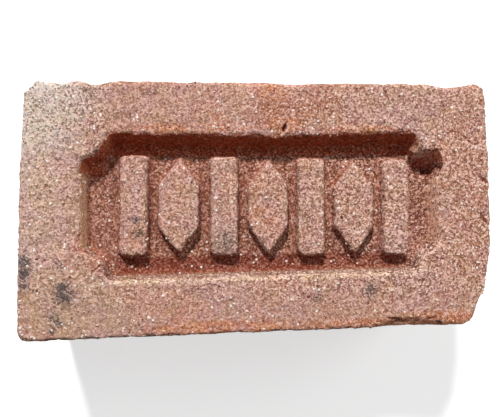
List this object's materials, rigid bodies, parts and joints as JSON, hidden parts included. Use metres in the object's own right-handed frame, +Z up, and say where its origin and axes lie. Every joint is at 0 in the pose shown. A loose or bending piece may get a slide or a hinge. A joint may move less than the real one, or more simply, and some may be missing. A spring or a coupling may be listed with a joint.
{
  "type": "frogged clay brick",
  "caption": "Hand-moulded clay brick with a shallow pocket in its upper bed face, holding a row of raised bars and lozenges; worn arrises and a broken corner.",
  "frame": {"origin": "centre of the lower bed face, at the middle of the brick's box", "axes": "+X along the length, +Y across the width from front stretcher to back stretcher, +Z up out of the frogged bed face"},
  "size_m": [0.2275, 0.12, 0.075],
  "materials": {
    "fired_clay": "sandy, unglazed, dull"
  },
  "bodies": {
    "root": {"brick": "fired_clay"}
  },
  "joints": []
}
